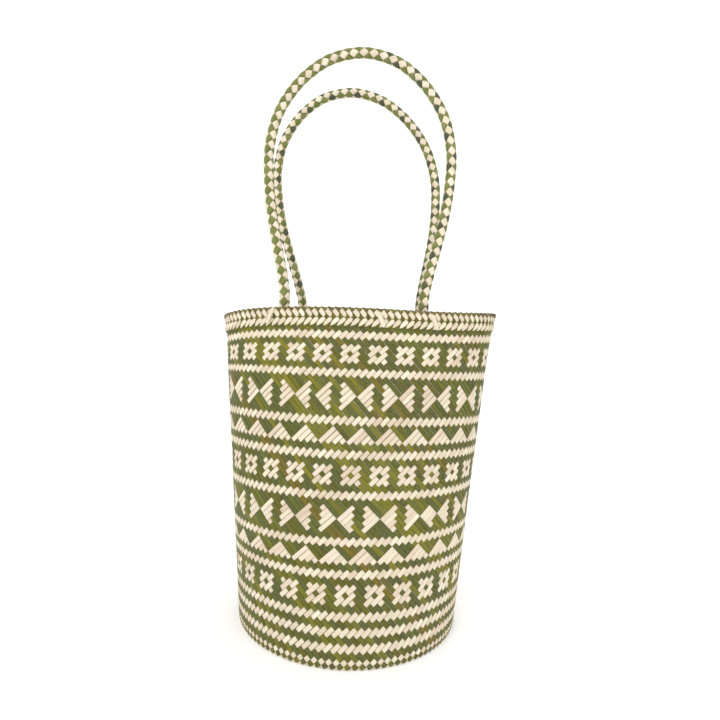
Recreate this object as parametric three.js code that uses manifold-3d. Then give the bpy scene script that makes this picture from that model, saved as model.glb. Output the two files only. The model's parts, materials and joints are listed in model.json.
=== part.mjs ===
// A palm-leaf tote: a bucket woven on the bias from flat leaf strips, with an oval mouth,
// a two-row plaited rim and two stiff braided loop handles that hinge where they leave the rim.
// Millimetres, +Z up. The origin is on the floor under the middle of the base. The mouth is widest along X.
import * as THREE from 'three';
import { mergeVertices } from 'three/addons/utils/BufferGeometryUtils.js';
import Module from 'manifold-3d';

const wasm = await Module();
wasm.setup();

// ---- Driving dimensions -------------------------------------------------------------------------

const BODY_HEIGHT = 323.2; // floor to the top of the rim
const BASE_HALF_WIDTH = 116; // the base is nearly round
const BASE_HALF_DEPTH = 120;
const MOUTH_HALF_WIDTH = 146; // the soft mouth is squashed into an oval of about the same girth
const MOUTH_HALF_DEPTH = 69;
const CORNER_RADIUS = 6; // where the wall turns under into the base
const WALL = 2; // two crossing layers of leaf strip
const GAP = 0.3; // left between pieces that touch

const ROW_HEIGHT = 8.2; // one plaited row of the rim
const ROW_PROUD = 2; // how far a row stands out from the wall
const BINDING_HEIGHT = 1.6; // the wrapped top edge
const HEM_DEPTH = 24; // strip ends turned down inside the mouth
const HEM_THICKNESS = 1.6;

const ROPE_RADIUS = 5.2; // braided handle
const CORE_RADIUS = 2.6; // fibre bundle inside the braid
const CORE_CLEARANCE = 0.8; // the braid lies loosely on the bundle
const CORE_END = 3; // the bundle runs this far past the hinge line, inside the braid's round end
const BORE_END = 10; // the bore for it runs right out of the round end
const HINGE_HEIGHT = BODY_HEIGHT + 12.8; // the handle flexes just above the rim
const TAIL_LENGTH = 62; // handle end lying inside the bag, from the top of the rim down
const TAIL_CLEARANCE = 1.6; // from the hinge line down to the tail, in rope radii
const ROOT_HALF_SPAN = 69.8; // half the distance between a handle's two legs at the hinge line
const STRIP_WIDTH = 4.8; // one leaf strip
const STRIP_THICKNESS = 0.8;

const ROUND_SEGMENTS = 56; // facets round the oval
const ROPE_SIDES = 10;
const CORE_SIDES = 8;
const HANDLE_STEPS = 44;
const TAIL_STEPS = 7;

// Half of a handle's outline, from the hinge to the top: half width, height above the hinge line.
const HANDLE_OUTLINE = [
  [ROOT_HALF_SPAN, 0],
  [72.8, 19],
  [80.6, 52],
  [87.8, 85],
  [91.9, 118],
  [92.2, 150],
  [84.5, 183],
  [71, 207],
  [56, 224],
  [33, 240],
];
const HANDLE_TOP = 247.5;
const HANDLE_LEAN = 8; // each handle leans this far towards the other
const LEAN_HEIGHT = 110; // height above the hinge at which the lean is complete

// Each handle stands a little to one side, and the back one sways as it rises.
const HANDLES = [
  { name: 'front', side: -1, shift: -5, sway: 0 },
  { name: 'back', side: 1, shift: 2, sway: -0.08 },
];

// Strips that lean over both rim rows: place along X, front (-1) or back (1), and run per rise.
const CROSS_STRIPS = [
  { name: 'front_left', x: -86, side: -1, slant: 0.45 },
  { name: 'front_middle', x: 22, side: -1, slant: -0.45 },
  { name: 'front_right', x: 74, side: -1, slant: -0.45 },
  { name: 'back_left', x: -80, side: 1, slant: 0.45 },
  { name: 'back_right', x: 80, side: 1, slant: -0.45 },
];

// ---- Worked-out heights -------------------------------------------------------------------------

const wallTop = BODY_HEIGHT - BINDING_HEIGHT - GAP;
const upperRowBase = wallTop - ROW_HEIGHT;
const lowerRowBase = upperRowBase - GAP - ROW_HEIGHT;
const hemInset = WALL + GAP;

// ---- Materials ----------------------------------------------------------------------------------

const materials = {
  weave: new THREE.MeshStandardMaterial({ color: 0xa3a565, roughness: 0.72, metalness: 0 }),
  cream: new THREE.MeshStandardMaterial({ color: 0xe9dcb8, roughness: 0.68, metalness: 0 }),
  green: new THREE.MeshStandardMaterial({ color: 0x6f7a38, roughness: 0.7, metalness: 0 }),
  braid: new THREE.MeshStandardMaterial({ color: 0xb9b27a, roughness: 0.7, metalness: 0 }),
  fibre: new THREE.MeshStandardMaterial({ color: 0xb59a6a, roughness: 0.85, metalness: 0 }),
};

const bag = new THREE.Group();

function addPiece(name, geometry, material) {
  const piece = new THREE.Mesh(geometry, material);
  piece.name = name;
  bag.add(piece);
  return piece;
}

// ---- The oval section, which changes evenly from base to mouth ------------------------------------

function halfWidthAt(height) {
  return THREE.MathUtils.lerp(BASE_HALF_WIDTH, MOUTH_HALF_WIDTH, height / BODY_HEIGHT);
}

function halfDepthAt(height) {
  return THREE.MathUtils.lerp(BASE_HALF_DEPTH, MOUTH_HALF_DEPTH, height / BODY_HEIGHT);
}

// The distance in Y from the middle plane to the oval that lies `inset` inside the wall's outer face.
function ovalY(x, height, inset) {
  const across = x / (halfWidthAt(height) - inset);
  return (halfDepthAt(height) - inset) * Math.sqrt(1 - across * across);
}

// The turn about Z from the Y axis to the wall's outward normal at x.
function ovalTurn(x, height) {
  const width = halfWidthAt(height);
  const depth = halfDepthAt(height);
  return Math.atan2(x / (width * width), ovalY(x, height, 0) / (depth * depth));
}

// Turns a closed profile of [inset, height] points once round the oval.
function ovalRing(profile) {
  const reach = 2 * MOUTH_HALF_WIDTH;
  const points = profile.map(([inset, height]) => new THREE.Vector2(reach - inset, height));
  points.push(points[0].clone());
  const ring = new THREE.LatheGeometry(points, ROUND_SEGMENTS);
  const position = ring.attributes.position;
  for (let i = 0; i < position.count; i += 1) {
    const height = position.getY(i);
    const angle = Math.atan2(position.getZ(i), position.getX(i));
    const inset = reach - Math.hypot(position.getX(i), position.getZ(i));
    const x = (halfWidthAt(height) - inset) * Math.cos(angle);
    const y = (halfDepthAt(height) - inset) * Math.sin(angle);
    position.setXYZ(i, x, -y, height);
  }
  return ring;
}

// ---- The woven body -------------------------------------------------------------------------------

function cornerArc(radius, steps) {
  const arc = [];
  for (let step = 0; step <= steps; step += 1) {
    const angle = (Math.PI / 2) * (step / steps);
    arc.push([CORNER_RADIUS - radius * Math.sin(angle), CORNER_RADIUS - radius * Math.cos(angle)]);
  }
  return arc;
}

function addWall() {
  const cornerSteps = 4;
  const middles = [0.35, 0.7].map((share) => share * wallTop);
  const outside = [
    ...cornerArc(CORNER_RADIUS, cornerSteps),
    ...middles.map((height) => [0, height]),
    [0, wallTop],
  ];
  const inside = [
    ...cornerArc(CORNER_RADIUS - WALL, cornerSteps),
    ...middles.map((height) => [WALL, height]),
    [WALL, wallTop],
  ];
  addPiece('woven_wall', ovalRing([...outside, ...inside.reverse()]), materials.weave);
}

function addBase() {
  const outline = new THREE.Shape();
  const halfWidth = BASE_HALF_WIDTH - CORNER_RADIUS - 2 * GAP;
  const halfDepth = BASE_HALF_DEPTH - CORNER_RADIUS - 2 * GAP;
  outline.absellipse(0, 0, halfWidth, halfDepth, 0, 2 * Math.PI);
  const options = { depth: WALL, bevelEnabled: false, curveSegments: ROUND_SEGMENTS };
  addPiece('woven_base', new THREE.ExtrudeGeometry(outline, options), materials.weave);
}

// ---- The rim --------------------------------------------------------------------------------------

// A plaited row is a flattened roll on the outside of the wall.
function addRimRow(name, base) {
  const top = base + ROW_HEIGHT;
  const shoulder = ROW_HEIGHT * 0.22;
  const lipInset = -ROW_PROUD * 0.8;
  const ring = ovalRing([
    [-GAP, base],
    [lipInset, base],
    [-ROW_PROUD, base + shoulder],
    [-ROW_PROUD, top - shoulder],
    [lipInset, top],
    [-GAP, top],
  ]);
  addPiece(name, ring, materials.cream);
}

// The wrapped edge covers the tops of the wall, the upper row and the hem.
function addEdgeBinding() {
  const base = wallTop + GAP;
  const outerInset = -ROW_PROUD * 0.85;
  const innerInset = hemInset + HEM_THICKNESS;
  const rounding = BINDING_HEIGHT * 0.45;
  const ring = ovalRing([
    [innerInset, base],
    [outerInset, base],
    [outerInset, BODY_HEIGHT - rounding],
    [outerInset + rounding, BODY_HEIGHT],
    [innerInset - rounding, BODY_HEIGHT],
    [innerInset, BODY_HEIGHT - rounding],
  ]);
  addPiece('rim_edge_binding', ring, materials.green);
}

function addInnerHem() {
  const ring = ovalRing([
    [hemInset + HEM_THICKNESS, wallTop - HEM_DEPTH],
    [hemInset, wallTop - HEM_DEPTH],
    [hemInset, wallTop],
    [hemInset + HEM_THICKNESS, wallTop],
  ]);
  addPiece('rim_inner_hem', ring, materials.weave);
}

// A strip that crosses both rim rows at a slant on the outside, where a new strip is worked in.
function addCrossStrip({ name, x, side, slant }) {
  const endMargin = 0.5;
  const height = lowerRowBase + endMargin;
  const rise = wallTop - endMargin - height;
  const halfRun = (slant * rise) / 2;
  const halfWidth = STRIP_WIDTH / 2;
  const face = new THREE.Shape([
    new THREE.Vector2(-halfWidth - halfRun, 0),
    new THREE.Vector2(halfWidth - halfRun, 0),
    new THREE.Vector2(halfWidth + halfRun, rise),
    new THREE.Vector2(-halfWidth + halfRun, rise),
  ]);
  const strip = new THREE.ExtrudeGeometry(face, { depth: STRIP_THICKNESS, bevelEnabled: false });
  strip.rotateX(Math.PI / 2);
  strip.translate(0, -ROW_PROUD - 2 * GAP, 0);
  const wallSlope = (ovalY(x, height, 0) - ovalY(x, height + rise, 0)) / rise;
  strip.rotateX(-Math.atan(wallSlope));
  if (side > 0) strip.rotateZ(Math.PI);
  const piece = addPiece(`rim_cross_strip_${name}`, strip, materials.cream);
  piece.position.set(x, side * ovalY(x, height, 0), height);
  piece.rotation.z = -side * ovalTurn(x, height);
}

// ---- The handles ----------------------------------------------------------------------------------

// The handles stand just inside the hem. The leg farthest along X has the least room, so it sets how far
// the hinge lines are from the middle plane.
const ropeInset = hemInset + HEM_THICKNESS + ROPE_RADIUS + 3 * GAP;
const widestRoot = ROOT_HALF_SPAN + Math.max(...HANDLES.map(({ shift }) => Math.abs(shift)));
const rootY = ovalY(widestRoot, BODY_HEIGHT, ropeInset);

function leanAt(height) {
  return HANDLE_LEAN * THREE.MathUtils.smoothstep(height, 0, LEAN_HEIGHT);
}

// The centreline of one handle; `below` carries both ends straight down past the hinge line.
function handleCurve({ side, shift, sway }, below) {
  const place = (across, height) => {
    const x = shift + sway * Math.max(height, 0) + across;
    return new THREE.Vector3(x, side * (rootY - leanAt(height)), HINGE_HEIGHT + height);
  };
  const rows = below > 0 ? [[ROOT_HALF_SPAN, -below], ...HANDLE_OUTLINE] : HANDLE_OUTLINE;
  const left = rows.map(([half, height]) => place(-half, height));
  const right = rows.map(([half, height]) => place(half, height)).reverse();
  return new THREE.CatmullRomCurve3([...left, place(0, HANDLE_TOP), ...right]);
}

function roundSection(radius, sides) {
  const corners = [];
  for (let side = 0; side < sides; side += 1) {
    const angle = (2 * Math.PI * side) / sides;
    corners.push(new THREE.Vector2(radius * Math.cos(angle), radius * Math.sin(angle)));
  }
  return new THREE.Shape(corners);
}

function rope(curve, radius, sides, steps) {
  const options = { steps, extrudePath: curve, bevelEnabled: false };
  return new THREE.ExtrudeGeometry(roundSection(radius, sides), options);
}

function toSolid(geometry) {
  const plain = geometry.clone();
  plain.deleteAttribute('normal');
  plain.deleteAttribute('uv');
  const merged = mergeVertices(plain, 1e-4);
  const vertProperties = new Float32Array(merged.attributes.position.array);
  const triVerts = new Uint32Array(merged.index.array);
  return new wasm.Manifold(new wasm.Mesh({ numProp: 3, vertProperties, triVerts }));
}

function fromSolid(solid) {
  const mesh = solid.getMesh();
  const geometry = new THREE.BufferGeometry();
  geometry.setAttribute('position', new THREE.BufferAttribute(mesh.vertProperties, 3));
  geometry.setIndex(new THREE.BufferAttribute(mesh.triVerts, 1));
  geometry.computeVertexNormals();
  return geometry;
}

function ball(centre, radius) {
  const sphere = new THREE.SphereGeometry(radius, 12, 8);
  sphere.translate(centre.x, centre.y, centre.z);
  return toSolid(sphere);
}

// The braid is a bored sleeve with round ends centred on the hinge line, so that it turns there freely.
function addHandle(handle) {
  const centreline = handleCurve(handle, 0);
  const bore = handleCurve(handle, BORE_END);
  const core = handleCurve(handle, CORE_END);
  const sleeve = toSolid(rope(centreline, ROPE_RADIUS, ROPE_SIDES, HANDLE_STEPS))
    .add(ball(centreline.getPoint(0), ROPE_RADIUS))
    .add(ball(centreline.getPoint(1), ROPE_RADIUS))
    .subtract(toSolid(rope(bore, CORE_RADIUS + CORE_CLEARANCE, CORE_SIDES, HANDLE_STEPS)));
  addPiece(`handle_${handle.name}_braid`, fromSolid(sleeve), materials.braid);
  addPiece(`handle_${handle.name}_core`, rope(core, CORE_RADIUS, CORE_SIDES, HANDLE_STEPS), materials.fibre);
}

// Below the hinge each rope end runs down the inside of the wall. It stops short of the braid's round end,
// so that the braid clears it when the handle is folded down past level.
function addTail(handle, leg) {
  const x = handle.shift + leg.side * ROOT_HALF_SPAN;
  const top = HINGE_HEIGHT - ROPE_RADIUS * TAIL_CLEARANCE;
  const bottom = BODY_HEIGHT - TAIL_LENGTH;
  const lashing = wallTop - HEM_DEPTH / 2;
  const place = (height) => {
    const y = height < BODY_HEIGHT ? ovalY(x, height, ropeInset) : rootY;
    return new THREE.Vector3(x, handle.side * y, height);
  };
  const heights = [top, BODY_HEIGHT, lashing, (lashing + bottom) / 2, bottom];
  const curve = new THREE.CatmullRomCurve3(heights.map(place));
  const tail = rope(curve, ROPE_RADIUS, ROPE_SIDES, TAIL_STEPS);
  addPiece(`handle_${handle.name}_tail_${leg.name}`, tail, materials.braid);
  addLashing(`tail_lashing_${handle.name}_${leg.name}`, place(lashing), handle.side);
}

// A strip sewn over the tail and through the wall holds it: a U whose open side faces the hem.
function addLashing(name, centre, side) {
  const inner = ROPE_RADIUS + 4 * GAP; // room for the slant of the tail
  const outer = inner + STRIP_THICKNESS;
  const legEnd = ROPE_RADIUS - GAP;
  const band = new THREE.Shape();
  band.moveTo(outer, legEnd);
  band.lineTo(outer, 0);
  band.absarc(0, 0, outer, 0, -Math.PI, true);
  band.lineTo(-outer, legEnd);
  band.lineTo(-inner, legEnd);
  band.lineTo(-inner, 0);
  band.absarc(0, 0, inner, -Math.PI, 0, false);
  band.lineTo(inner, legEnd);
  band.closePath();
  const options = { depth: STRIP_WIDTH, bevelEnabled: false, curveSegments: 8 };
  const strip = new THREE.ExtrudeGeometry(band, options);
  strip.translate(0, 0, -STRIP_WIDTH / 2);
  if (side < 0) strip.rotateZ(Math.PI);
  const piece = addPiece(name, strip, materials.green);
  piece.position.copy(centre);
  piece.rotation.z = -side * ovalTurn(centre.x, centre.z);
}

// ---- Assembly -------------------------------------------------------------------------------------

addWall();
addBase();
addRimRow('rim_row_upper', upperRowBase);
addRimRow('rim_row_lower', lowerRowBase);
addEdgeBinding();
addInnerHem();

for (const handle of HANDLES) {
  addHandle(handle);
  for (const leg of [{ name: 'left', side: -1 }, { name: 'right', side: 1 }]) addTail(handle, leg);
}

for (const crossStrip of CROSS_STRIPS) addCrossStrip(crossStrip);

export default bag;
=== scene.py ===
"""The looks of a palm-leaf tote: each leaf strip of its weave, rim and braided handles is its own ribbon.

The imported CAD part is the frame. Lengths are metres; the bag stands on the floor at the origin, +Z up.
Places on the wall are given as (column, row) of the weave: columns run round the oval from the middle of
the front (-Y) towards +X, rows are half-steps of the weave counted downwards.
"""

import json
import math

import bpy
import numpy as np
from mathutils import Matrix, Vector


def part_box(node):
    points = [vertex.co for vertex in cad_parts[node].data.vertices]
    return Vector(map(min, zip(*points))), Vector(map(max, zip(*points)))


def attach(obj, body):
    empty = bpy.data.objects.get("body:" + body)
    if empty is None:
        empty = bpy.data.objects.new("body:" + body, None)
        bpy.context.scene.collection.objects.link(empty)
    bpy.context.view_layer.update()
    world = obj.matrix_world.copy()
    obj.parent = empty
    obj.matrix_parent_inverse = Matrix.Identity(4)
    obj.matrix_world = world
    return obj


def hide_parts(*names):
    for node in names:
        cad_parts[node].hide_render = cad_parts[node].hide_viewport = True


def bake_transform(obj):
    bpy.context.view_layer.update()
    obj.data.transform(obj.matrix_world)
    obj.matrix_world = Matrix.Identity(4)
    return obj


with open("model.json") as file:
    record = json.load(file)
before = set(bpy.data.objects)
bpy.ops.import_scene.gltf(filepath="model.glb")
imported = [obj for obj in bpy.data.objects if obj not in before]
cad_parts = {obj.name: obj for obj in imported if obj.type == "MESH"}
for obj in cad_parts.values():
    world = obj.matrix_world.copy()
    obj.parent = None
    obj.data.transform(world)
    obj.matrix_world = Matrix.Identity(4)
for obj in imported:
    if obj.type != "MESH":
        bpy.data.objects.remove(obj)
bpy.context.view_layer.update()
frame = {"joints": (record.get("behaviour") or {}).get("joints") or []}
rng = np.random.default_rng(7)

MM = 0.001

# ---- Sizes taken from the frame --------------------------------------------------------------------

BODY_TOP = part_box("rim_edge_binding")[1].z
WALL_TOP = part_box("woven_wall")[1].z
BASE_EDGE = 6.6 * MM  # the flat base stops this far inside the wall's outer face
CORNER_RADIUS = 3 * MM  # where the strips turn under
BASE_HALF_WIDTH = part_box("woven_base")[1].x + BASE_EDGE
BASE_HALF_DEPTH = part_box("woven_base")[1].y + BASE_EDGE
MOUTH_HALF_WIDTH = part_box("woven_wall")[1].x
BINDING_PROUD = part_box("rim_edge_binding")[1].x - MOUTH_HALF_WIDTH
MOUTH_HALF_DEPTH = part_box("rim_edge_binding")[1].y - BINDING_PROUD
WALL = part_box("woven_base")[1].z  # wall thickness
UPPER_ROW = (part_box("rim_row_upper")[0].z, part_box("rim_row_upper")[1].z)
LOWER_ROW = (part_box("rim_row_lower")[0].z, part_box("rim_row_lower")[1].z)
ROW_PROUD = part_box("rim_row_upper")[1].x - MOUTH_HALF_WIDTH  # how far a rim row stands out
HEM_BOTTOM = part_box("rim_inner_hem")[0].z
# Insets are measured inwards from the wall's outer face.
HEM_INSET = MOUTH_HALF_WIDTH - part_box("rim_inner_hem")[1].x
HEM_THICKNESS = 1.6 * MM
TAIL_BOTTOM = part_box("handle_front_tail_left")[0].z
ROPE_RADIUS = 5.2 * MM
TAIL_GAP = 0.9 * MM  # between a tail and the hem
TAIL_INSET = HEM_INSET + HEM_THICKNESS + ROPE_RADIUS + TAIL_GAP  # of a tail's middle line
HINGES = {joint["child"]: joint["pos_m"] for joint in frame["joints"]}

# ---- The weave -------------------------------------------------------------------------------------

STRIPS = 108  # leaf strips in each direction round the bag
FRONT_PITCH = 6.69 * MM  # column pitch on the front; the back takes up the rest of the girth
ROW_STEP = 3.28 * MM  # down the wall from one row of cells to the next
ROW_ZERO_HEIGHT = 298.54 * MM
TURN_UNDER_ROW = (ROW_ZERO_HEIGHT - CORNER_RADIUS) / ROW_STEP
FIRST_ROW = -6
LAST_ROW = 92
CREAM_DRIFT = 0.5175  # columns that a cream strip moves back in one row; green moves forward by the rest
PATTERN_OFFSET = 0.10  # column of cream strip 0 at row 0
STRIP_THICKNESS = 0.42 * MM
STRIP_CROWN = 0.12 * MM  # how much a strip bulges along its middle
WAVER = 0.02  # columns that a strip strays from its straight line
LAYER_OFFSET = 0.42 * MM  # a strip's middle lies this far from the middle of the wall
WALL_MIDDLE = 0.9 * MM  # depth of the middle of the wall inside its outer face
FLAT_SHARE = 0.37  # of a row step, each side of a cell's middle, in which a strip lies flat

# How the soft wall departs from an even cone.
SAG_ROWS = (8, 74)  # between these rows the weave sits lower than the even pitch
SAG = 1.3  # by up to this many rows
SKEW_ROWS = (33, 80)  # between these rows it is lower at the left and higher at the right
SKEW = 2.8 * MM
LEFT_DROOP = 9 * MM  # the mouth's left end hangs lower
RIGHT_LIFT = 4.5 * MM  # and its right end stands higher
MOUTH_SHIFT = 1.5 * MM  # the mouth stands a little to the right
DROOP_LAST_ROW = 14

# Weave charts: one line for each row, one character for each cream strip, # where cream is on top.
BAND = ("#", "#")
FLOWER = (
    "###.",
    ".##.",
    ".#.#",
    "..##",
    "#.##",
)
BOW_TIE = (
    "#...#.",
    ".#..#.",
    ".##.##",
    "..####",
    "#.##.#",
    "#..#..",
    ".#.#..",
)
TRIANGLE = (
    "#...",
    "##..",
    "###.",
    "####",
)
# (first row, chart, cream strip of the chart's first character)
DESIGN = [
    (0, BAND, 0),
    (4, FLOWER, 0),
    (11, BAND, 0),
    (15, BOW_TIE, 0),
    (24, BAND, 0),
    (27, TRIANGLE, 3),
    (33, BAND, 0),
    (37, FLOWER, 2),
    (44, BAND, 0),
    (48, BOW_TIE, 3),
    (57, BAND, 0),
    (60, TRIANGLE, 1),
    (66, BAND, 0),
    (70, FLOWER, 3),
    (77, BAND, 0),
    (81, BAND, 0),
    (85, BAND, 0),
]
PLAIN_FROM_ROW = 89  # below this row the weave is plain: cream on top in every other row
# Two bow-tie bands slip by half a motif, on one side of a column: -1 to its left, 1 to its right.
SLIPS = {15: (-5.9, -1), 48: (12.2, 1)}  # first row of the band: column and side


def from_front(columns):
    """The same columns counted from the middle of the front, at most half way round to either side."""
    return (np.asarray(columns) + STRIPS / 2) % STRIPS - STRIPS / 2


def slipped(first, row, strip):
    """True for a cream strip's cell that lies beyond its band's slip."""
    if first not in SLIPS:
        return False
    place, side = SLIPS[first]
    column = strip + PATTERN_OFFSET - CREAM_DRIFT * row - place
    return from_front(column) * side > 0


def cream_on_top():
    """A table of True where the cream strip is on top, one line for each row from FIRST_ROW to LAST_ROW."""
    table = np.zeros((LAST_ROW - FIRST_ROW + 1, STRIPS), bool)
    for first, chart, start in DESIGN:
        for line, cells in enumerate(chart):
            for strip in range(STRIPS):
                slip = len(cells) // 2 if slipped(first, first + line, strip) else 0
                mark = cells[(strip - start + slip) % len(cells)]
                table[first + line - FIRST_ROW, strip] = mark == "#"
    table[PLAIN_FROM_ROW - FIRST_ROW :: 2] = True
    return table


# ---- The oval wall as a surface ---------------------------------------------------------------------

OVAL_SAMPLES = 1441


def half_sizes(height):
    """Half width and half depth of the wall's outer face at a height; both change evenly."""
    share = height / WALL_TOP
    half_width = BASE_HALF_WIDTH + (MOUTH_HALF_WIDTH - BASE_HALF_WIDTH) * share
    half_depth = BASE_HALF_DEPTH + (MOUTH_HALF_DEPTH - BASE_HALF_DEPTH) * share
    return half_width, half_depth


def oval_angles(columns, half_width, half_depth):
    """Angles round an oval, from the middle of the front, at the given weave columns."""
    angles = np.linspace(-math.pi, math.pi, OVAL_SAMPLES)
    steps = np.hypot(half_width * np.cos(angles), half_depth * np.sin(angles))
    lengths = np.concatenate([[0], np.cumsum((steps[1:] + steps[:-1]) / 2 * np.diff(angles))])
    lengths -= lengths[-1] / 2
    half_girth = lengths[-1]
    spare = STRIPS / 2 - half_girth / FRONT_PITCH
    spread = np.abs(lengths / half_girth) ** 3
    table = lengths / FRONT_PITCH + np.sign(lengths) * spare * spread
    return np.interp(from_front(columns), table, angles)


def swell(row, first, last):
    """Rises from 0 to 1 and falls back to 0 between two rows."""
    share = min(max((row - first) / (last - first), 0), 1)
    return math.sin(math.pi * share) ** 2


def meridian(row):
    """Height and inset of a row: down the wall, round the corner, then in under the base."""
    if row <= TURN_UNDER_ROW:
        return ROW_ZERO_HEIGHT - ROW_STEP * (row + SAG * swell(row, *SAG_ROWS)), 0.0
    distance = (row - TURN_UNDER_ROW) * ROW_STEP
    angle = distance / CORNER_RADIUS
    if angle < math.pi / 2:
        return CORNER_RADIUS * (1 - math.sin(angle)), CORNER_RADIUS * (1 - math.cos(angle))
    return 0.0, CORNER_RADIUS + distance - CORNER_RADIUS * math.pi / 2


def wall_points(columns, row):
    """Points of the wall's outer face at one row."""
    height, inset = meridian(row)
    half_width, half_depth = half_sizes(height)
    angles = oval_angles(columns, half_width - inset, half_depth - inset)
    x = (half_width - inset) * np.sin(angles)
    y = -(half_depth - inset) * np.cos(angles)
    near_mouth = min(max(1 - row / DROOP_LAST_ROW, 0), 1)
    ends = np.where(angles < 0, -LEFT_DROOP, RIGHT_LIFT) * np.sin(angles) ** 4
    z = height + SKEW * swell(row, *SKEW_ROWS) * np.sin(angles) + near_mouth * ends
    return np.stack([x + MOUTH_SHIFT * near_mouth**2, y, z], axis=-1)


def unit(vectors):
    return vectors / np.maximum(np.linalg.norm(vectors, axis=-1, keepdims=True), 1e-12)


def wall_frame(columns, row):
    """Points of the wall's outer face at one row, and the outward normals there."""
    nudge = 0.02  # columns and rows
    points = wall_points(columns, row)
    round_the_bag = wall_points(columns + nudge, row) - wall_points(columns - nudge, row)
    downwards = wall_points(columns, row + nudge) - wall_points(columns, row - nudge)
    return points, unit(np.cross(downwards, round_the_bag))


def height_to_row(height):
    return (ROW_ZERO_HEIGHT - height) / ROW_STEP


# ---- Ribbons ----------------------------------------------------------------------------------------

LEAF_FACETS = 40  # degrees: a bend sharper than this is a crisp edge


def leaf_section(thickness, crown):
    """A leaf strip's section: places across (shares of the half width) and up."""
    edge = thickness / 2
    return np.array([
        [-1, edge],
        [0, edge + crown],
        [1, edge],
        [1, -edge],
        [0, -edge + crown / 2],
        [-1, -edge],
    ])


def new_mesh(name, vertices, faces, leaf, material, slot):
    """A mesh object; leaf holds, for each vertex, mm along and across its strip and the strip's tone."""
    mesh = bpy.data.meshes.new(name)
    mesh.from_pydata(vertices, [], faces)
    attribute = mesh.attributes.new("leaf", "FLOAT_VECTOR", "POINT")
    attribute.data.foreach_set("vector", np.asarray(leaf, np.float32).ravel())
    mesh.polygons.foreach_set("use_smooth", np.ones(len(mesh.polygons), bool))
    mesh.set_sharp_from_angle(angle=math.radians(LEAF_FACETS))
    mesh.materials.append(material)
    piece = bpy.data.objects.new(name, mesh)
    bpy.context.scene.collection.objects.link(piece)
    return piece


def tube_faces(tubes, steps, corners):
    """Quads round every tube and a cap on each end."""
    counts = (np.arange(tubes), np.arange(steps - 1), np.arange(corners))
    tube, step, corner = np.meshgrid(*counts, indexing="ij")
    here = (tube * steps + step) * corners + corner
    beside = (tube * steps + step) * corners + (corner + 1) % corners
    sides = np.stack([here, beside, beside + corners, here + corners], axis=-1).reshape(-1, 4).tolist()
    caps = []
    for first in range(0, tubes * steps * corners, steps * corners):
        last = first + (steps - 1) * corners
        caps.append(list(range(first + corners - 1, first - 1, -1)))
        caps.append(list(range(last, last + corners)))
    return sides + caps


def ribbons(name, centres, normals, half_widths, section, tones, material, slot):
    """One mesh of closed ribbons.

    centres and normals are arrays of (ribbons, steps, 3), half_widths of (ribbons, steps).
    """
    tubes, steps = centres.shape[:2]
    along = np.gradient(centres, axis=1)
    sides = unit(np.cross(along, normals))
    ups = unit(np.cross(sides, along))
    across = half_widths[:, :, None] * section[:, 0]
    vertices = (
        centres[:, :, None]
        + sides[:, :, None] * across[..., None]
        + ups[:, :, None] * section[:, 1][:, None]
    )
    leaf = np.zeros(vertices.shape)
    lengths = np.linalg.norm(np.diff(centres, axis=1), axis=-1)
    leaf[:, 1:, :, 0] = np.cumsum(lengths, axis=1)[..., None] / MM
    leaf[..., 1] = across / MM
    leaf[..., 2] = np.broadcast_to(np.asarray(tones).reshape(tubes, -1), (tubes, steps))[..., None]
    faces = tube_faces(tubes, steps, len(section))
    return new_mesh(name, vertices.reshape(-1, 3), faces, leaf.reshape(-1, 3), material, slot)


# ---- Materials --------------------------------------------------------------------------------------


class Nodes:
    """Short calls for building one material's node tree."""

    def __init__(self, name):
        self.material = bpy.data.materials.new(name)
        self.material.use_nodes = True
        self.tree = self.material.node_tree
        self.shader = self.tree.nodes["Principled BSDF"]

    def add(self, kind, inputs=(), **settings):
        node = self.tree.nodes.new(kind)
        for key, value in settings.items():
            setattr(node, key, value)
        for socket, value in dict(inputs).items():
            if isinstance(value, bpy.types.NodeSocket):
                self.tree.links.new(value, node.inputs[socket])
            else:
                node.inputs[socket].default_value = value
        return node

    def link(self, value, socket):
        self.tree.links.new(value, self.shader.inputs[socket])

    def math(self, operation, first, second=0.0):
        return self.add("ShaderNodeMath", {0: first, 1: second}, operation=operation).outputs[0]

    def noise(self, vector, scale, detail=2.0):
        inputs = {"Vector": vector, "Scale": scale, "Detail": detail}
        return self.add("ShaderNodeTexNoise", inputs).outputs["Fac"]

    def stretch(self, vector, scale):
        return self.add("ShaderNodeMapping", {"Vector": vector, "Scale": scale}).outputs[0]

    def ramp(self, value, stops):
        node = self.add("ShaderNodeValToRGB", {"Fac": value})
        elements = node.color_ramp.elements
        while len(elements) < len(stops):
            elements.new(0.5)
        for element, (place, colour) in zip(elements, stops):
            element.position = place
            element.color = (*colour, 1) if len(colour) == 3 else colour
        return node.outputs["Color"]

    def mix(self, share, first, second, blend="MIX"):
        node = self.add("ShaderNodeMix", {0: share, 6: first, 7: second}, data_type="RGBA", blend_type=blend)
        return node.outputs[2]


def linear(red, green, blue):
    """A colour given in 0 to 255 screen values, as the shader's linear values."""
    return tuple(((value / 255 + 0.055) / 1.055) ** 2.4 for value in (red, green, blue))


def even_stops(colours):
    """Ramp stops at even places."""
    return [(i / max(len(colours) - 1, 1), linear(*colour)) for i, colour in enumerate(colours)]


# Scales of the noise along a strip and across it, for each mm, and from tone to tone.
BLOTCH_SCALE = (0.022, 0.10, 61)
GRAIN_SCALE = (0.10, 3.1, 83)
VEIN_SCALE = (0.03, 1.15, 29)
EDGE_REACH = 2.6  # mm from the middle line; the edge colour, partly the leaf's browned edge and partly painted shade between strips, sets in from 0.66 to 0.92 of this
# how strongly the edge colour covers a strip's edges: browned leaf and painted shade
EDGE_SHADE_STRENGTH = 0.65


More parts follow.
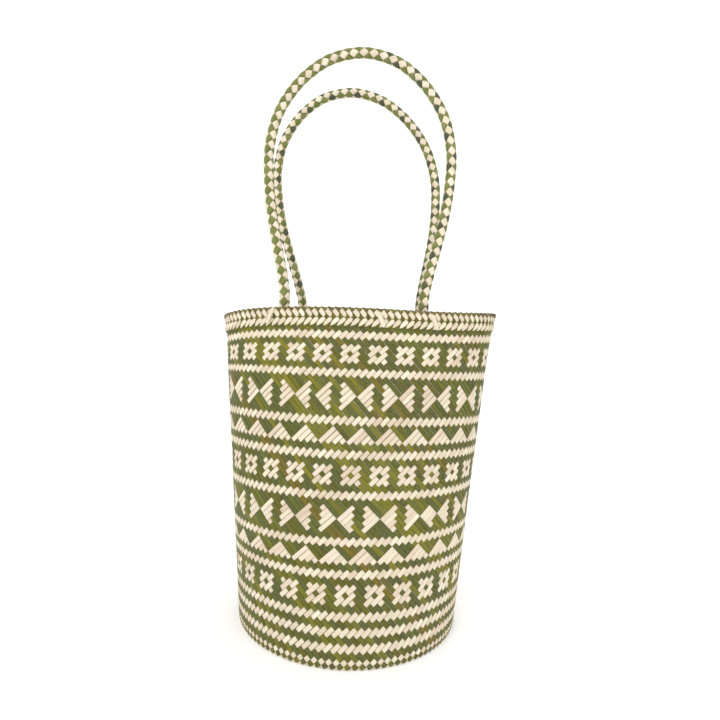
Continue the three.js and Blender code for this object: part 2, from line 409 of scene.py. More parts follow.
def leaf_material(name, tones, blotch, blotch_share, grain_share, edge, roughness):
    """Dried palm leaf.

    tones are the colours from strip to strip, blotch a colour that comes and goes along a strip,
    grain_share how strong its lengthwise lines are, and edge the colour towards its two long edges, partly
    the leaf's own browned edge and partly painted shade in the gaps between strips.
    """
    nodes = Nodes(name)
    leaf = nodes.add("ShaderNodeAttribute", attribute_name="leaf").outputs["Vector"]
    parts = nodes.add("ShaderNodeSeparateXYZ", {0: leaf}).outputs
    across = nodes.math("ABSOLUTE", parts[1])

    slow = nodes.noise(nodes.stretch(leaf, BLOTCH_SCALE), 1.0, 3)
    fine = nodes.noise(nodes.stretch(leaf, GRAIN_SCALE), 1.0, 4)
    vein = nodes.noise(nodes.stretch(leaf, VEIN_SCALE), 1.0, 2)

    colour = nodes.ramp(parts[2], even_stops(tones))
    patch = nodes.ramp(slow, [(0.42, (0, 0, 0)), (0.66, (1, 1, 1))])
    colour = nodes.mix(nodes.math("MULTIPLY", patch, blotch_share), colour, (*linear(*blotch), 1))
    grain = nodes.ramp(fine, [(0.30, (1 - grain_share,) * 3), (0.70, (1 + grain_share,) * 3)])
    colour = nodes.mix(1.0, colour, grain, "MULTIPLY")
    veins = nodes.ramp(vein, [(0.35, (1 - grain_share / 2,) * 3), (0.62, (1 + grain_share / 2,) * 3)])
    colour = nodes.mix(1.0, colour, veins, "MULTIPLY")
    # painted shade: every strip darkens towards its long edges, partly the leaf's browned edge and partly
    # the shade in the gaps between strips
    edge_shade = nodes.ramp(nodes.math("DIVIDE", across, EDGE_REACH), [(0.66, (0, 0, 0)), (0.92, (1, 1, 1))])
    colour = nodes.mix(nodes.math("MULTIPLY", edge_shade, EDGE_SHADE_STRENGTH), colour, (*linear(*edge), 1))
    nodes.link(colour, "Base Color")

    rough = nodes.ramp(fine, [(0.2, (roughness - 0.1,) * 3), (0.8, (roughness + 0.12,) * 3)])
    nodes.link(rough, "Roughness")
    height = nodes.math("ADD", nodes.math("MULTIPLY", fine, 0.5), vein)
    bump = nodes.add("ShaderNodeBump", {"Strength": 0.45, "Distance": 0.12 * MM, "Height": height})
    nodes.link(bump.outputs["Normal"], "Normal")
    nodes.shader.inputs["Specular IOR Level"].default_value = 0.25
    nodes.shader.inputs["Sheen Weight"].default_value = 0.05
    return nodes.material


CREAM_TONES = [
    (222, 213, 190),
    (211, 196, 174),
    (232, 224, 202),
    (217, 200, 182),
    (226, 216, 192),
    (208, 190, 166),
]
GREEN_TONES = [
    (102, 99, 20),
    (86, 86, 26),
    (120, 115, 28),
    (96, 101, 34),
    (82, 86, 42),
    (112, 98, 24),
]
BRAID_GREENS = [(66, 73, 60), (106, 115, 54), (130, 135, 80)]

materials = {
    "cream": leaf_material(
        "cream_leaf",
        tones=CREAM_TONES,
        blotch=(208, 186, 160),
        blotch_share=0.35,
        grain_share=0.11,
        edge=(140, 116, 78),
        roughness=0.62,
    ),
    "green": leaf_material(
        "green_leaf",
        tones=GREEN_TONES,
        blotch=(90, 96, 50),
        blotch_share=0.45,
        grain_share=0.26,
        edge=(44, 42, 10),
        roughness=0.62,
    ),
    "braid_cream": leaf_material(
        "braid_cream_leaf",
        tones=CREAM_TONES,
        blotch=(222, 198, 168),
        blotch_share=0.4,
        grain_share=0.14,
        edge=(138, 112, 66),
        roughness=0.6,
    ),
    "braid_green": leaf_material(
        "braid_green_leaf",
        tones=BRAID_GREENS,
        blotch=(104, 110, 40),
        blotch_share=0.35,
        grain_share=0.28,
        edge=(40, 40, 12),
        roughness=0.55,
    ),
    "binding": leaf_material(
        "binding_leaf",
        tones=[(112, 108, 40), (98, 88, 36), (126, 124, 50)],
        blotch=(110, 84, 48),
        blotch_share=0.6,
        grain_share=0.2,
        edge=(78, 62, 30),
        roughness=0.6,
    ),
    # painted shade: olive leaf darkened to stand for the shade in the gaps between the rim rows' strips
    "shadow_leaf": leaf_material(
        "rim_core_leaf",
        tones=[(108, 106, 40), (90, 88, 32)],
        blotch=(76, 66, 28),
        blotch_share=0.6,
        grain_share=0.2,
        edge=(50, 44, 16),
        roughness=0.75,
    ),
    "fibre": leaf_material(
        "core_fibre",
        tones=[(176, 148, 100), (160, 128, 84)],
        blotch=(140, 110, 70),
        blotch_share=0.5,
        grain_share=0.25,
        edge=(110, 84, 52),
        roughness=0.8,
    ),
}


# ---- The woven wall ---------------------------------------------------------------------------------


def strip_columns(colour, strips, row):
    """Columns of strips at a row: cream strips run back as they go down, green strips forward."""
    drift = -CREAM_DRIFT if colour == "cream" else 1 - CREAM_DRIFT
    waver = WAVER * np.sin(2.4 * strips + 0.13 * row)
    return strips + PATTERN_OFFSET + drift * row + waver


def wall_strips(colour, on_top, tones, widths):
    """All the strips of one colour, in two pieces."""
    strips = np.arange(STRIPS)
    sign = 1 if colour == "cream" else -1
    centres = []
    normals = []
    half_widths = []
    for row in range(FIRST_ROW, LAST_ROW + 1):
        cream_strip = strips if colour == "cream" else (strips + row) % STRIPS
        layer = np.where(on_top[row - FIRST_ROW, cream_strip], sign, -sign) * LAYER_OFFSET
        for place in (row - FLAT_SHARE, row + FLAT_SHARE):
            columns = strip_columns(colour, strips, place)
            points, outward = wall_frame(columns, place)
            pitch = np.linalg.norm(wall_points(columns + 1, place) - points, axis=-1)
            centres.append(points + outward * (layer - WALL_MIDDLE)[:, None])
            normals.append(outward)
            half_widths.append(pitch / math.sqrt(2) / 2 * widths)
    centres = np.stack(centres, axis=1)
    normals = np.stack(normals, axis=1)
    half_widths = np.stack(half_widths, axis=1)
    section = leaf_section(STRIP_THICKNESS, STRIP_CROWN)
    for part, chosen in {"a": strips[::2], "b": strips[1::2]}.items():
        name = f"woven_wall_{colour}_{part}"
        arrays = (centres[chosen], normals[chosen], half_widths[chosen])
        piece = ribbons(name, *arrays, section, tones[chosen], materials[colour], "weave")
        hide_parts("woven_wall")
        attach(piece, "bag")


# Narrowest and widest strip, as shares of its lane.
CREAM_WIDTHS = (0.87, 0.94)
GREEN_WIDTHS = (0.92, 0.98)


def build_wall():
    on_top = cream_on_top()
    wall_strips("cream", on_top, rng.random(STRIPS), rng.uniform(*CREAM_WIDTHS, STRIPS))
    wall_strips("green", on_top, rng.random(STRIPS), rng.uniform(*GREEN_WIDTHS, STRIPS))


# ---- The flat base: the same strips crossing in a plain weave -----------------------------------------

BASE_STRIP_SHARE = 0.95  # of its lane that a base strip fills
KEEP_APART = 1e-7  # points past the oval's edge stay this far apart, so that a strip has a direction there


def chord(direction, sideways, offset, reach):
    """Middle and half length of the line at `offset` sideways, cut off by an oval of half sizes `reach`."""
    a = (direction[0] / reach[0]) ** 2 + (direction[1] / reach[1]) ** 2
    b = offset * (direction[0] * sideways[0] / reach[0] ** 2 + direction[1] * sideways[1] / reach[1] ** 2)
    c = offset**2 * ((sideways[0] / reach[0]) ** 2 + (sideways[1] / reach[1]) ** 2) - 1
    return -b / a, math.sqrt(max(b * b - a * c, 0)) / a


def base_lane(colour, index, lane, count, spacing, reach):
    """Points of one strip of the base, two for each crossing."""
    turn = 1 if colour == "cream" else -1
    direction = np.array([1, turn]) / math.sqrt(2)
    sideways = np.array([-turn, 1]) / math.sqrt(2)
    middle, half_chord = chord(direction, sideways, lane * spacing, reach)
    points = []
    for step, crossing in enumerate(np.arange(-count, count + 1) * spacing):
        up = ((step + index) % 2 == 0) == (colour == "cream")
        height = WALL / 2 + (LAYER_OFFSET if up else -LAYER_OFFSET)
        for share in (-FLAT_SHARE, FLAT_SHARE):
            place = np.clip(crossing + share * spacing, middle - half_chord, middle + half_chord)
            place += len(points) * KEEP_APART
            points.append([*(direction * place + sideways * lane * spacing), height])
    return points


def build_base():
    spacing = FRONT_PITCH / math.sqrt(2)
    reach = (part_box("woven_base")[1].x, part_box("woven_base")[1].y)
    count = int(min(reach) / spacing)
    lanes = np.arange(-count, count + 1)
    section = leaf_section(STRIP_THICKNESS, STRIP_CROWN)
    for colour in ("cream", "green"):
        strips = [base_lane(colour, index, lane, count, spacing, reach) for index, lane in enumerate(lanes)]
        centres = np.array(strips)
        normals = np.zeros_like(centres)
        normals[..., 2] = 1
        half_widths = np.full(centres.shape[:2], spacing / 2 * BASE_STRIP_SHARE)
        tones = rng.random(len(lanes))
        arrays = (centres, normals, half_widths)
        piece = ribbons(f"woven_base_{colour}", *arrays, section, tones, materials[colour], "weave")
        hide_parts("woven_base")
        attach(piece, "bag")


# ---- The rim ----------------------------------------------------------------------------------------


RIM_STRIP_WIDTH = 4.4 * MM
RIM_STRIP_THICKNESS = 0.6 * MM
RIM_STRIP_CROWN = 0.35 * MM
BINDING_WIDTH = 6 * MM
BINDING_THICKNESS = 0.5 * MM
BINDING_CROWN = 0.25 * MM
BINDING_LEAN = 0.35  # columns that a turn leans to each side
HEM_STRIP_WIDTH = 4.2 * MM


def rim_wave(columns):
    """The mouth isn't quite level: a small rise and fall round it."""
    turn = 2 * math.pi * np.asarray(columns) / STRIPS
    return (0.35 * np.sin(2 * turn + 0.6) + 0.25 * np.sin(5 * turn + 2.0)) * MM


def rim_points(columns, heights, proud):
    """Points near the rim at (column, height), standing out from the wall, and their outward normals."""
    columns = np.asarray(columns, float)
    points = np.zeros(columns.shape + (3,))
    normals = np.zeros_like(points)
    for step in range(columns.shape[1]):
        for height in np.unique(heights[:, step]):
            chosen = heights[:, step] == height
            row = height_to_row(height)
            points[chosen, step], normals[chosen, step] = wall_frame(columns[chosen, step], row)
    points += normals * np.asarray(proud)[..., None]
    points[..., 2] += rim_wave(columns)
    return points, normals


def rim_row(row, colour, span, start, lean, shape, lift):
    """One colour of a rim row: short strips lying at a slant of `lean` columns from top to bottom.

    shape and lift give the share of the full width and the height off the wall at even steps down a strip.
    """
    node = f"rim_row_{row}"
    steps = len(shape)
    strips = np.arange(STRIPS)
    jitter = rng.uniform(-0.06, 0.06, STRIPS)
    shares = np.linspace(0, 1, steps)
    columns = (strips + start + jitter)[:, None] + lean * (shares - 0.5)
    heights = np.broadcast_to(span[1] + (span[0] - span[1]) * shares, columns.shape)
    points, normals = rim_points(columns, heights, np.broadcast_to(lift, columns.shape))
    half_widths = np.asarray(shape) * RIM_STRIP_WIDTH / 2 * rng.uniform(0.9, 1.06, STRIPS)[:, None]
    section = leaf_section(RIM_STRIP_THICKNESS, RIM_STRIP_CROWN)
    tones = rng.random(STRIPS)
    arrays = (points, normals, half_widths)
    piece = ribbons(f"rim_{row}_{colour}", *arrays, section, tones, materials[colour], f"{colour}_strip")
    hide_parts(node)
    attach(piece, "bag")


def oval_band(name, profile, material, slot, steps=324):
    """A closed band round the rim: profile is (distance out from the wall's outer face, height)."""
    columns = np.arange(steps) * STRIPS / steps
    rings = []
    for out, height in profile:
        points, normals = wall_frame(columns, height_to_row(height))
        points = points + normals * out
        points[:, 2] += rim_wave(columns)
        rings.append(points)
    vertices = np.stack(rings, axis=1)
    corners = len(profile)
    step, corner = np.meshgrid(np.arange(steps), np.arange(corners), indexing="ij")
    here = step * corners + corner
    beside = step * corners + (corner + 1) % corners
    after = ((step + 1) % steps) * corners
    faces = np.stack([here, beside, after + (corner + 1) % corners, after + corner], axis=-1).reshape(-1, 4)
    leaf = np.zeros(vertices.shape)
    leaf[..., 0] = columns[:, None] * FRONT_PITCH / MM
    leaf[..., 1] = np.arange(corners)
    leaf[..., 2] = 0.5 + 0.5 * np.sin(columns)[:, None]
    return new_mesh(name, vertices.reshape(-1, 3), faces.tolist(), leaf.reshape(-1, 3), material, slot)


def build_rim_rows():
    """The two rows; a span is the lowest and the highest point of a row's strips."""
    arch = np.array([0.25, 0.75, 0.97, 1.0, 0.97, 0.75, 0.2]) * (ROW_PROUD - RIM_STRIP_THICKNESS)
    under = arch * 0.6
    upper = (UPPER_ROW[0] + 1.3 * MM, UPPER_ROW[1] + 0.6 * MM)
    lower = (LOWER_ROW[0] + 0.6 * MM, LOWER_ROW[1] - 0.5 * MM)
    rounded = [0.7, 0.95, 1.0, 1.0, 1.0, 0.95, 0.7]
    pointed = [0.95, 1.0, 1.0, 0.94, 0.8, 0.55, 0.2]
    full = [0.9, 1.0, 1.0, 1.0, 1.0, 1.0, 0.7]
    rim_row("upper", "cream", upper, start=0.5, lean=0.9, shape=rounded, lift=arch)
    rim_row("upper", "green", upper, start=1.0, lean=-0.8, shape=full, lift=under)
    rim_row("lower", "cream", lower, start=0.4, lean=-1.1, shape=pointed, lift=arch)
    rim_row("lower", "green", lower, start=0.9, lean=0.9, shape=full, lift=under)
    build_rim_core_shade()


def build_rim_core_shade():
    """A flat band under both rows, seen in the gaps between their strips: olive leaf in colour, made darker
    than the weave as painted shade for those gaps.
    """
    face = 0.05 * MM
    proud = 0.8 * MM
    bevel = 1.2 * MM
    profile = [
        (face, LOWER_ROW[0]),
        (proud, LOWER_ROW[0] + bevel),
        (proud, UPPER_ROW[1] - bevel),
        (face, UPPER_ROW[1]),
    ]
    piece = oval_band("rim_row_core", profile, materials["shadow_leaf"], "green_strip")
    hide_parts("rim_row_lower", "rim_row_upper")
    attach(piece, "bag")


def build_edge_binding():
    """A leaf strip wound over the top edge, one turn for each column."""
    turns = STRIPS
    steps = 9
    inner = -HEM_INSET - 1.8 * MM
    outer = ROW_PROUD * 0.85
    middle = (inner + outer) / 2
    reach = (outer - inner) / 2
    base = WALL_TOP + 0.1 * MM
    rise = BODY_TOP - 0.5 * MM - base
    bend = np.linspace(-0.1, 1.1, steps) * math.pi
    columns = np.arange(turns)[:, None] + np.linspace(-BINDING_LEAN, BINDING_LEAN, steps)
    jitter = rng.uniform(0.9, 1.05, turns)[:, None]
    points, outward = wall_frame(columns.ravel(), height_to_row(WALL_TOP))
    points = points.reshape(turns, steps, 3)
    outward = outward.reshape(turns, steps, 3)
    out = middle + reach * np.cos(bend)
    up = base + rise * np.sin(bend) * jitter
    flat = unit(outward * [1, 1, 0])
    points = points + flat * out[:, None]
    points[..., 2] += up - WALL_TOP + rim_wave(columns)
    normals = flat * np.cos(bend)[:, None]
    normals[..., 2] = np.sin(bend)
    half_widths = np.full((turns, steps), BINDING_WIDTH / 2)
    section = leaf_section(BINDING_THICKNESS, BINDING_CROWN)
    tones = rng.random(turns)
    arrays = (points, normals, half_widths)
    piece = ribbons("rim_binding_turns", *arrays, section, tones, materials["binding"], "green_strip")
    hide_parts("rim_edge_binding")
    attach(piece, "bag")


def hem_strips(lean, steps=15):
    """Points, normals and half widths of one colour's turned-down ends."""
    ends = rng.uniform(0.8, 1.0, STRIPS)
    drop = np.linspace(0, 1, steps) * ends[:, None] * (WALL_TOP - HEM_BOTTOM)
    columns = np.arange(STRIPS)[:, None] + 0.25 + lean * drop / (2 * ROW_STEP)
    layer = 0.4 * MM * lean * np.where(np.arange(steps) // 2 % 2 == 0, 1, -1)
    inset = HEM_INSET + HEM_THICKNESS / 2
    points = np.zeros((STRIPS, steps, 3))
    normals = np.zeros_like(points)
    for index in range(STRIPS):
        for step in range(steps):
            row = height_to_row(WALL_TOP - drop[index, step])
            point, outward = wall_frame(columns[index : index + 1, step], row)
            points[index, step] = point[0] - outward[0] * (inset + layer[step])
            normals[index, step] = -outward[0]
    half_widths = np.full((STRIPS, steps), HEM_STRIP_WIDTH / 2)
    half_widths[:, -1] *= 0.4  # a strip's end is cut to a point
    return points, normals, half_widths


def build_hem():
    """The strips' ends, turned down inside the mouth and woven through each other."""
    section = leaf_section(STRIP_THICKNESS, STRIP_CROWN)
    for colour, lean in {"cream": -1, "green": 1}.items():
        arrays = hem_strips(lean)
        tones = rng.random(STRIPS)
        piece = ribbons(f"rim_hem_{colour}", *arrays, section, tones, materials[colour], "weave")
        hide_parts("rim_inner_hem")
        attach(piece, "bag")


CROSS_STRIP_WIDTH = 4.6 * MM
CROSS_STRIP_LEAN = 0.45  # run along the rim for each millimetre down


def build_cross_strip(name, steps=9):
    """One slanting strip that lies over both rim rows."""
    node = f"rim_cross_strip_{name}"
    low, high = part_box(node)
    lean = CROSS_STRIP_LEAN if name in ("front_left", "back_left") else -CROSS_STRIP_LEAN
    side = -1 if name.startswith("front") else 1
    middle_x = (low.x + high.x) / 2
    heights = np.linspace(high.z - 0.2 * MM, low.z + 0.2 * MM, steps)
    run = lean * (heights - heights.mean())
    angle = np.arcsin(np.clip((middle_x + run) / half_sizes(heights.mean())[0], -1, 1))
    lift = ROW_PROUD * (0.62 + 0.38 * np.sin(np.linspace(0, math.pi, steps)))
    points = np.zeros((1, steps, 3))
    normals = np.zeros_like(points)
    for step, height in enumerate(heights):
        half_width, half_depth = half_sizes(height)
        across = math.sin(angle[step])
        back = side * math.cos(angle[step])
        outward = np.array([across / half_width, back / half_depth, 0])
        outward /= np.linalg.norm(outward)
        place = np.array([half_width * across, half_depth * back, height])
        points[0, step] = place + outward * (lift[step] + 0.35 * MM)
        normals[0, step] = outward
    half_widths = np.array([[0.5, 0.85, 1, 1, 1, 1, 1, 0.85, 0.5]]) * CROSS_STRIP_WIDTH / 2
    section = leaf_section(RIM_STRIP_THICKNESS, 0.25 * MM)
    tones = rng.random(1)
    arrays = (points, normals, half_widths)
    piece = ribbons(f"cross_strip_{name}", *arrays, section, tones, materials["cream"], "cream_strip")
    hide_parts(node)
    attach(piece, "bag")


def build_cross_strips():
    for name in ("front_left", "front_middle", "front_right", "back_left", "back_right"):
        build_cross_strip(name)


# ---- The braided handles ----------------------------------------------------------------------------

CORE_RADIUS = 2.6 * MM
BRAID_STEP = 5.2 * MM  # along the rope from one crossing to the next
STRANDS = 3  # of each colour
STRAND_THICKNESS = 0.5 * MM
STRAND_CROWN = 0.6 * MM
STRAND_SHARE = 0.97  # of its lane that a strand fills
WEAVE_RADIUS = ROPE_RADIUS - 1.2 * MM
WEAVE_DEPTH = 0.55 * MM  # a strand goes in and out by this much
WEAVE_SNAP = 2.2  # how quickly it does so
STRAND_SAMPLES = 6  # for each crossing
STRAND_EDGE_SHADE = 0.68  # brings a strand's edges to where the leaf material darkens: browned leaf and painted shade where the strands tuck under each other
ROOT_HALF_SPAN = 69.8 * MM
HANDLE_TOP = 247.5 * MM
HANDLE_LEAN = 8 * MM
LEAN_HEIGHT = 110 * MM
# The CAD's outline of one half, from the hinge line up: (half width, height), mm.
HANDLE_OUTLINE = [
    (69.8, 0),
    (72.8, 19),
    (80.6, 52),
    (87.8, 85),
    (91.9, 118),
    (92.2, 150),
    (84.5, 183),
    (71, 207),
    (56, 224),
    (33, 240),
]
# side; shift and sway along X; turns of the braid's columns at the left foot, top and right foot, degrees
HANDLES = {
    "front": {"side": -1, "shift": -5 * MM, "sway": 0.0, "turns": (-70, -18, 35)},
    "back": {"side": 1, "shift": 2 * MM, "sway": -0.08, "turns": (50, 5, -25)},
}


def centripetal_line(points, spacing):
    """A centripetal Catmull-Rom curve through the points, resampled at an even spacing."""
    points = np.asarray(points, float)
    points = np.vstack([2 * points[0] - points[1], points, 2 * points[-1] - points[-2]])
    line = []
    for p0, p1, p2, p3 in zip(points, points[1:], points[2:], points[3:]):
        gaps = [math.sqrt(np.linalg.norm(b - a)) for a, b in ((p0, p1), (p1, p2), (p2, p3))]
        knots = np.cumsum([0] + gaps)
        t = np.linspace(knots[1], knots[2], 24, endpoint=False)[:, None]

        def between(a, b, start, end):
            return a * (end - t) / (end - start) + b * (t - start) / (end - start)

        a1 = between(p0, p1, knots[0], knots[1])
        a2 = between(p1, p2, knots[1], knots[2])
        a3 = between(p2, p3, knots[2], knots[3])
        b1 = between(a1, a2, knots[0], knots[2])
        b2 = between(a2, a3, knots[1], knots[3])
        line.append(between(b1, b2, knots[1], knots[2]))
    line = np.vstack([*line, points[-2]])
    lengths = np.concatenate([[0], np.cumsum(np.linalg.norm(np.diff(line, axis=0), axis=1))])
    count = int(round(lengths[-1] / spacing)) + 1
    even = np.linspace(0, lengths[-1], count)
    points = np.stack([np.interp(even, lengths, line[:, axis]) for axis in range(3)], axis=1)
    return points, lengths[-1]


def oval_y(x, height, inset):
    """Distance in Y from the middle plane to the oval that lies `inset` inside the wall's outer face."""
    half_width, half_depth = half_sizes(height)
    return (half_depth - inset) * math.sqrt(1 - (x / (half_width - inset)) ** 2)


def handle_line(name):
    """The rope's middle line: up one tail inside the bag, round the loop and down the other tail."""
    handle = HANDLES[name]
    side = handle["side"]
    hinge = HINGES[f"handle_{name}"]
    root_y = abs(hinge[1])
    lashing = WALL_TOP - (WALL_TOP - HEM_BOTTOM) / 2

    def place(across, height):
        rise = min(max(height / LEAN_HEIGHT, 0), 1)
        lean = HANDLE_LEAN * rise * rise * (3 - 2 * rise)
        x = handle["shift"] + handle["sway"] * height + across
        return (x, side * (root_y - lean), hinge[2] + height)

    def tail(across):
        x = handle["shift"] + across
        heights = [TAIL_BOTTOM, (lashing + TAIL_BOTTOM) / 2, lashing]
        down = [(x, side * oval_y(x, height, TAIL_INSET), height) for height in heights]
        return down + [(x, side * root_y, BODY_TOP)]

    left = [place(-half * MM, height * MM) for half, height in HANDLE_OUTLINE]
    right = [place(half * MM, height * MM) for half, height in reversed(HANDLE_OUTLINE)]
    points = tail(-ROOT_HALF_SPAN) + left + [place(0, HANDLE_TOP)] + right + tail(ROOT_HALF_SPAN)[::-1]
    return centripetal_line(points, BRAID_STEP / 4)


class Rope:
    """A rope's middle line with a frame that keeps facing the front (-Y)."""

    def __init__(self, name):
        self.points, self.length = handle_line(name)
        self.places = np.linspace(0, self.length, len(self.points))
        along = unit(np.gradient(self.points, axis=0))
        front = np.array([0.0, -1.0, 0.0])
        facing = front - along * (along @ front)[:, None]
        self.facing = unit(facing)
        self.across = np.cross(self.facing, along)
        left, top, right = HANDLES[name]["turns"]
        share = np.linspace(-1, 1, len(self.points))
        bow = (left + right) / 2 - top
        self.turn = np.radians(top + (right - left) / 2 * share + bow * share**2)

    def at(self, table, place):
        return np.stack([np.interp(place, self.places, table[:, axis]) for axis in range(3)], axis=-1)

    def surface(self, place, angle, radius):
        """Points at a distance along the rope, an angle round it from the front, and a radius."""
        angle = angle + np.interp(place, self.places, self.turn)
        outward = (
            self.at(self.facing, place) * np.cos(angle)[..., None]
            + self.at(self.across, place) * np.sin(angle)[..., None]
        )
        return self.at(self.points, place) + outward * np.asarray(radius)[..., None]


def braid_strands(rope, colour):
    """Vertices (strand, step, corner) of one colour's strands, with leaf coordinates."""
    direction = 1 if colour == "cream" else -1
    half_width = math.pi * ROPE_RADIUS / STRANDS * math.cos(math.pi / 4) * STRAND_SHARE
    corners = 7
    shares = np.linspace(-1, 1, corners)
    crown = STRAND_CROWN * (1 - np.abs(shares) ** 3)
    across = np.concatenate([shares, shares[::-1]]) * half_width
    lift = np.concatenate([crown + STRAND_THICKNESS / 2, crown[::-1] - STRAND_THICKNESS / 2])
    crossings = rope.length / BRAID_STEP
    steps = int(crossings * STRAND_SAMPLES)
    crossing = np.linspace(0.6, crossings - 0.6, steps)[None, :, None]
    strand = np.arange(STRANDS)[:, None, None]
    wave = np.tanh(WEAVE_SNAP * np.cos(math.pi * crossing)) / math.tanh(WEAVE_SNAP)
    radius = WEAVE_RADIUS + direction * WEAVE_DEPTH * wave + lift
    angle = direction * math.pi / 3 * crossing + 2 * math.pi * strand / STRANDS
    angle = angle + across * math.cos(math.pi / 4) / ROPE_RADIUS
    place = crossing * BRAID_STEP - direction * across * math.sin(math.pi / 4)
    shape = np.broadcast_shapes(radius.shape, angle.shape, place.shape)
    place = np.clip(np.broadcast_to(place, shape), 0, rope.length)
    vertices = rope.surface(place, np.broadcast_to(angle, shape), np.broadcast_to(radius, shape))
    leaf = np.zeros(shape + (3,))
    leaf[..., 0] = crossing * BRAID_STEP * math.sqrt(2) / MM
    # the strand's edges fall in the darkened band: painted shade where strands tuck under, partly browned
    # leaf
    leaf[..., 1] = across / MM * STRAND_EDGE_SHADE
    return vertices, leaf, len(across)


DARK_FROM = {"front": 0.53, "back": 0.0}  # share of a handle's length


def strand_tones(name, colour, leaf):
    """How light each strand is. One green strand is dark from DARK_FROM along the handle to its end."""
    if colour == "cream":
        leaf[..., 2] = np.array([0.1, 0.45, 0.75])[:, None, None]
        return
    share = np.linspace(0, 1, leaf.shape[1])[:, None]
    leaf[0, ..., 2] = np.where(share >= DARK_FROM[name], 0.05, 0.6)
    leaf[1, ..., 2] = 0.55
    leaf[2, ..., 2] = 0.8


def blend_handle(piece):
    """Bakes the piece's placement into its mesh. The rope's own line already runs from the tails, which stay
    in the bag, up into the handle round the hinge line.
    """
    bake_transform(piece)


def rope_core(rope, name):
    """Five twisted fibres that fill the braid."""
    fibres = 5
    corners = 8
    fibre_radius = 1.25 * MM
    lay = 40 * MM  # length of one twist
    end = 1 * MM
    steps = int(rope.length / (3 * MM))
    place = np.linspace(end, rope.length - end, steps)
    vertices = np.zeros((fibres, steps, corners, 3))
    leaf = np.zeros_like(vertices)
    for fibre in range(fibres):
        angle = 2 * math.pi * (place / lay + fibre / fibres)
        centre_radius = np.full(steps, CORE_RADIUS - fibre_radius + 0.6 * MM)
        centres = rope.surface(place, angle, centre_radius)
        outward = unit(centres - rope.at(rope.points, place))
        sideways = unit(np.cross(np.gradient(centres, axis=0), outward))
        for corner in range(corners):
            around = 2 * math.pi * corner / corners
            ring = outward * math.cos(around) + sideways * math.sin(around)
            vertices[fibre, :, corner] = centres + ring * fibre_radius
            leaf[fibre, :, corner, 0] = place / MM
            leaf[fibre, :, corner, 1] = corner / 4
        leaf[fibre, ..., 2] = fibre / fibres
    faces = tube_faces(fibres, steps, corners)
    shape = (vertices.reshape(-1, 3), faces, leaf.reshape(-1, 3))
    return new_mesh(f"handle_{name}_core_fibres", *shape, materials["fibre"], "handle_fibre")


def build_handle(name):
    rope = Rope(name)
    tails = [f"handle_{name}_tail_{leg}" for leg in ("left", "right")]
    for colour in ("cream", "green"):
        vertices, leaf, corners = braid_strands(rope, colour)
        strand_tones(name, colour, leaf)
        faces = tube_faces(vertices.shape[0], vertices.shape[1], corners)
        shape = (vertices.reshape(-1, 3), faces, leaf.reshape(-1, 3))
        material = materials[f"braid_{colour}"]
        piece = new_mesh(f"handle_{name}_strands_{colour}", *shape, material, "handle_braid")
        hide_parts(f"handle_{name}_braid", *tails)
        blend_handle(piece)
    core = rope_core(rope, name)
    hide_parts(f"handle_{name}_core")
    blend_handle(core)


def build_lashing(name, leg):
    """Two turns of a green strip sewn over one tail and into the hem, crossing each other."""
    node = f"tail_lashing_{name}_{leg}"
    low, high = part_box(node)
    tail_low, tail_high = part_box(f"handle_{name}_tail_{leg}")
    x = (tail_low.x + tail_high.x) / 2
    height = (low.z + high.z) / 2
    centre = np.array([x, HANDLES[name]["side"] * oval_y(x, height, TAIL_INSET), height])
    half_width, half_depth = half_sizes(height)
    outward = np.array([x / half_width**2, centre[1] / half_depth**2, 0])
    outward /= np.linalg.norm(outward)
    tangent = np.array([-outward[1], outward[0], 0])
    bend = np.linspace(-0.5, 0.5, 13) * math.pi
    ring = -outward * np.cos(bend)[:, None] + tangent * np.sin(bend)[:, None]
    loop = centre + ring * (ROPE_RADIUS + TAIL_GAP)
    reach = outward * (ROPE_RADIUS + 0.4 * MM)
    points = np.vstack([loop[0] + reach, loop, loop[-1] + reach])
    normals = np.vstack([ring[0], ring, ring[-1]])
    rise = np.linspace(-2.6, 2.6, len(points)) * MM
    turns = np.stack([points, points])
    turns[0, :, 2] += rise
    turns[1, :, 2] -= rise
    turns[1] += normals * 0.45 * MM
    half_widths = np.full((2, len(points)), 2.0 * MM)
    section = leaf_section(STRIP_THICKNESS, STRIP_CROWN)
    tones = rng.random(2)
    arrays = (turns, np.stack([normals, normals]), half_widths)
    piece = ribbons(f"lashing_{name}_{leg}", *arrays, section, tones, materials["green"], "green_strip")
    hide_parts(node)
    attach(piece, "bag")


def build_lashings():
    for name in HANDLES:
        for leg in ("left", "right"):
            build_lashing(name, leg)


# ---- Floor, light and camera -------------------------------------------------------------------------


FLAT_RADIUS = 1.2  # a ring of corners here keeps the middle of the floor level
FLOOR_RADIUS = 2.2
FLOOR_BEND = 0.8  # radius of the curve up into the wall
BACKDROP_HEIGHT = 3.2


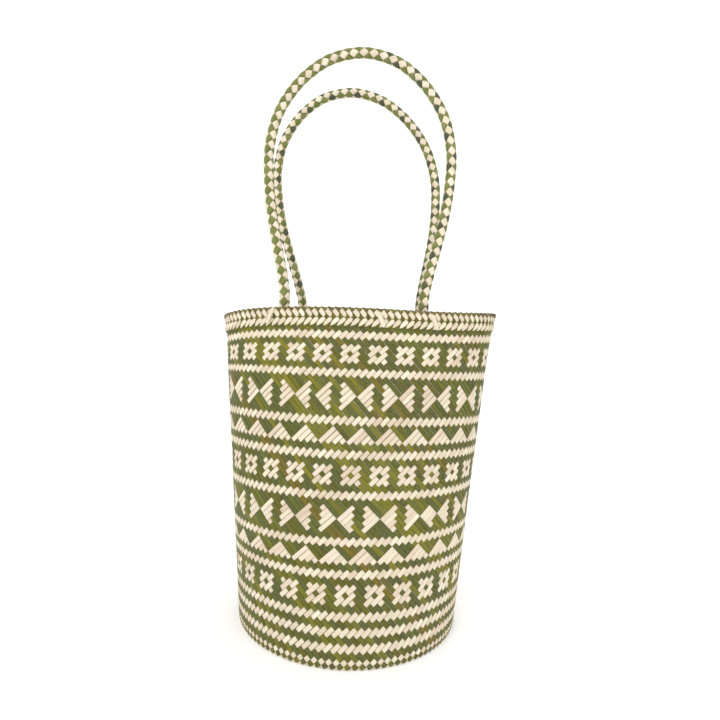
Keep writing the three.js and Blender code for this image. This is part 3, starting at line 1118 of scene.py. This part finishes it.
def build_stage():
    """A round pale floor that curves up into a pale wall."""
    profile = [(0.0, 0.0), (FLAT_RADIUS, 0.0), (FLOOR_RADIUS, 0.0)]
    bend_steps = 12
    for step in range(1, bend_steps + 1):
        angle = step / bend_steps * math.pi / 2
        profile.append((FLOOR_RADIUS + FLOOR_BEND * math.sin(angle), FLOOR_BEND * (1 - math.cos(angle))))
    profile.append((FLOOR_RADIUS + FLOOR_BEND, BACKDROP_HEIGHT))
    segments = 96
    vertices = []
    faces = []
    for radius, height in profile:
        for segment in range(segments):
            angle = 2 * math.pi * segment / segments
            vertices.append((radius * math.cos(angle), radius * math.sin(angle), height))
    for ring in range(len(profile) - 1):
        for segment in range(segments):
            a = ring * segments + segment
            b = ring * segments + (segment + 1) % segments
            faces.append((a, b, b + segments, a + segments))
    mesh = bpy.data.meshes.new("studio_floor")
    mesh.from_pydata(vertices, [], faces)
    mesh.polygons.foreach_set("use_smooth", np.ones(len(mesh.polygons), bool))
    mesh.materials.append(pale_floor_material())
    floor = bpy.data.objects.new("studio_floor", mesh)
    bpy.context.scene.collection.objects.link(floor)


def pale_floor_material():
    shader_inputs = {
        "Base Color": (0.93, 0.93, 0.92, 1),
        "Roughness": 0.9,
        "Emission Color": (1, 1, 1, 1),
        "Emission Strength": 0.14,
    }
    nodes = Nodes("pale_floor")
    for socket, value in shader_inputs.items():
        nodes.shader.inputs[socket].default_value = value
    return nodes.material


# name: place, what it points at, watts
LAMPS = {
    "key": ((-1.0, -1.7, 1.9), (0, 0, 0.25), 15),
    "fill": ((1.6, -1.4, 1.0), (0, 0, 0.2), 4),
    "back": ((0.6, 1.6, 1.8), (0, 0, 0.3), 8),
}
LAMP_SIZE = 1.6


def area_light(name, place, target, energy):
    light = bpy.data.lights.new(name, "AREA")
    light.size = LAMP_SIZE
    light.energy = energy
    lamp = bpy.data.objects.new(name, light)
    bpy.context.scene.collection.objects.link(lamp)
    lamp.location = place
    lamp.rotation_mode = "QUATERNION"
    lamp.rotation_quaternion = (Vector(target) - Vector(place)).to_track_quat("-Z", "Y")
    lamp.visible_camera = False


def build_light():
    world = bpy.data.worlds.new("studio_world")
    world.use_nodes = True
    background = world.node_tree.nodes["Background"]
    background.inputs["Color"].default_value = (1, 1, 1, 1)
    background.inputs["Strength"].default_value = 0.86
    bpy.context.scene.world = world
    for name, (place, target, energy) in LAMPS.items():
        area_light(name, place, target, energy)
    bpy.context.scene.view_settings.view_transform = "Standard"


CAMERA_PLACE = (3.5 * MM, -572 * MM, 280.5 * MM)


def build_camera():
    """Close in front of the bag, a little below the rim, leaning slightly."""
    camera = bpy.data.cameras.new("camera")
    camera.lens = 26
    camera.sensor_width = 36
    camera.clip_start = 0.02
    camera.clip_end = 20
    eye = bpy.data.objects.new("camera", camera)
    bpy.context.scene.collection.objects.link(eye)
    tilt_down = math.radians(0.83)
    roll = math.radians(2.4)
    turn = Matrix.Rotation(math.pi / 2 - tilt_down, 4, "X") @ Matrix.Rotation(roll, 4, "Z")
    eye.matrix_world = Matrix.Translation(CAMERA_PLACE) @ turn
    bpy.context.scene.camera = eye


build_camera()
build_stage()
build_light()
build_wall()
build_base()
build_rim_rows()
build_edge_binding()
build_hem()
build_cross_strips()
for handle_name in HANDLES:
    build_handle(handle_name)
build_lashings()
